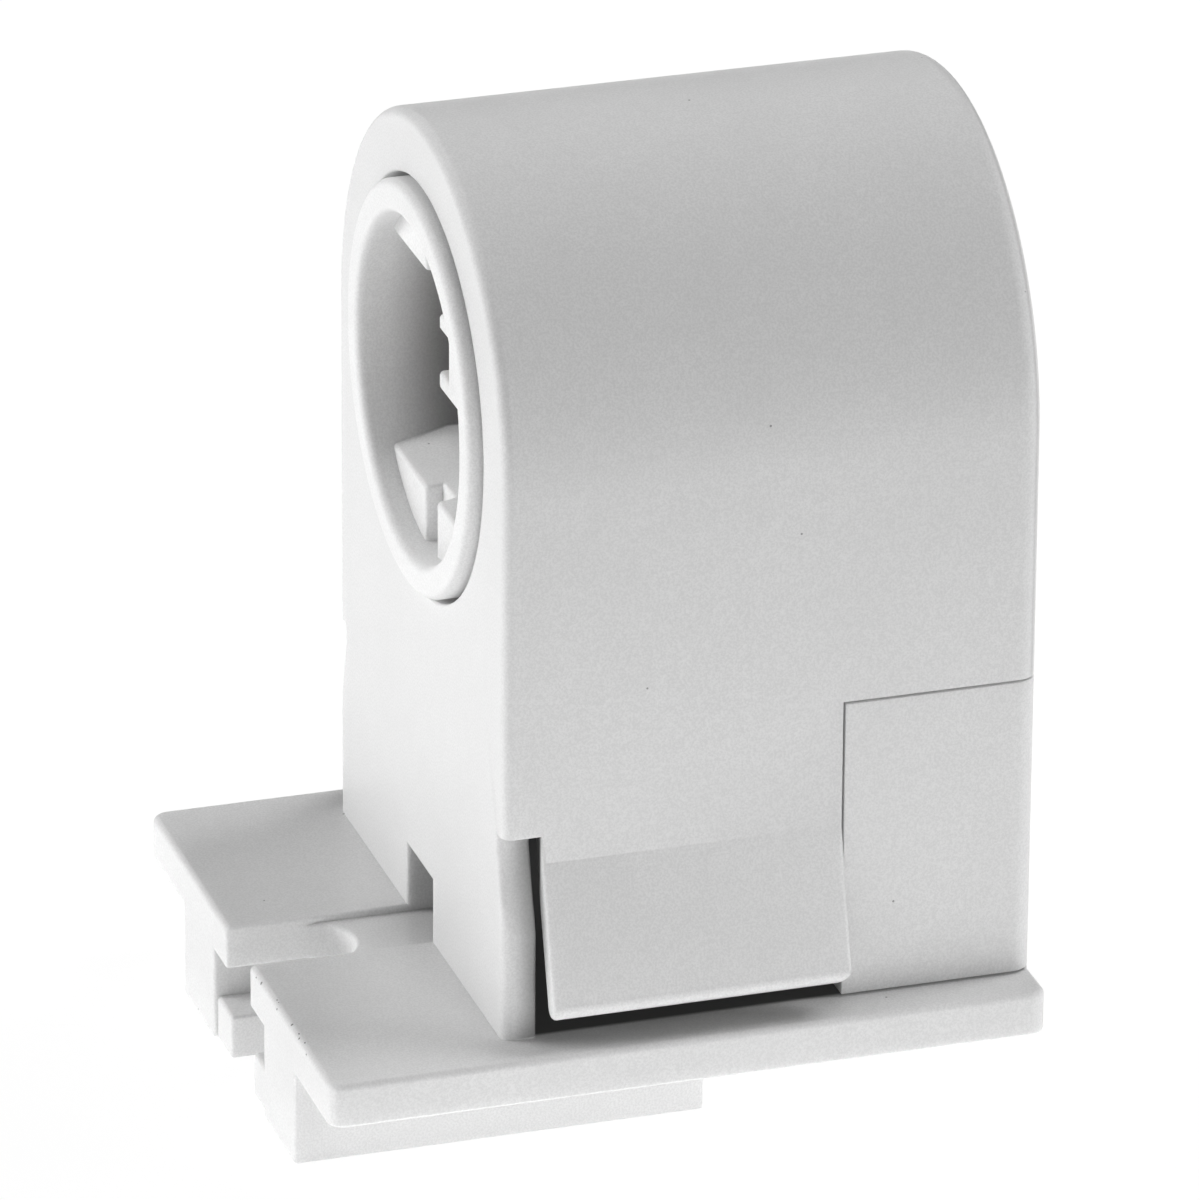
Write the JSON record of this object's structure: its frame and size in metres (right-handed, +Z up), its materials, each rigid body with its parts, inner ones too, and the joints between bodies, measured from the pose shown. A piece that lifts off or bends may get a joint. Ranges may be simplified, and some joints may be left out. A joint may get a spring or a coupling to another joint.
{
  "type": "fluorescent lamp holder",
  "caption": "White arch-topped holder for a double-contact fluorescent tube, with a sprung round plunger socket, side latches and a slotted foot on slide rails.",
  "frame": {"origin": "middle of the foot plate's outline, at the bottom of the slide rails", "axes": "+X across the holder, +Y from the lamp side to the back, +Z up"},
  "size_m": [0.0382, 0.0426, 0.0578],
  "materials": {
    "white_moulding": "satin gloss moulded plastic",
    "cover_moulding": "satin gloss moulded plastic",
    "barrel_moulding": "satin moulded plastic",
    "inner_moulding": "matt moulded plastic",
    "contact_bronze": "bright strip",
    "terminal_brass": "bright strip",
    "spring_steel": "drawn wire",
    "clamp_steel": "rolled strip"
  },
  "bodies": {
    "housing": {"housing": "white_moulding", "rear_cover": "cover_moulding", "terminal_left": "terminal_brass", "terminal_right": "terminal_brass", "wire_clamp_left": "clamp_steel", "wire_clamp_right": "clamp_steel", "plunger_spring": "spring_steel"},
    "plunger": {"barrel": "barrel_moulding", "contact_retainer": "inner_moulding", "contact_left": "contact_bronze", "contact_right": "contact_bronze"}
  },
  "joints": [
    {"name": "plunger_slide", "type": "slide", "parent": "housing", "child": "plunger", "axis": [0, 1, 0], "range_m": [0, 0.008], "stiffness_N_per_m": 600, "springref_m": -0.008, "deforming": ["plunger_spring"]}
  ]
}
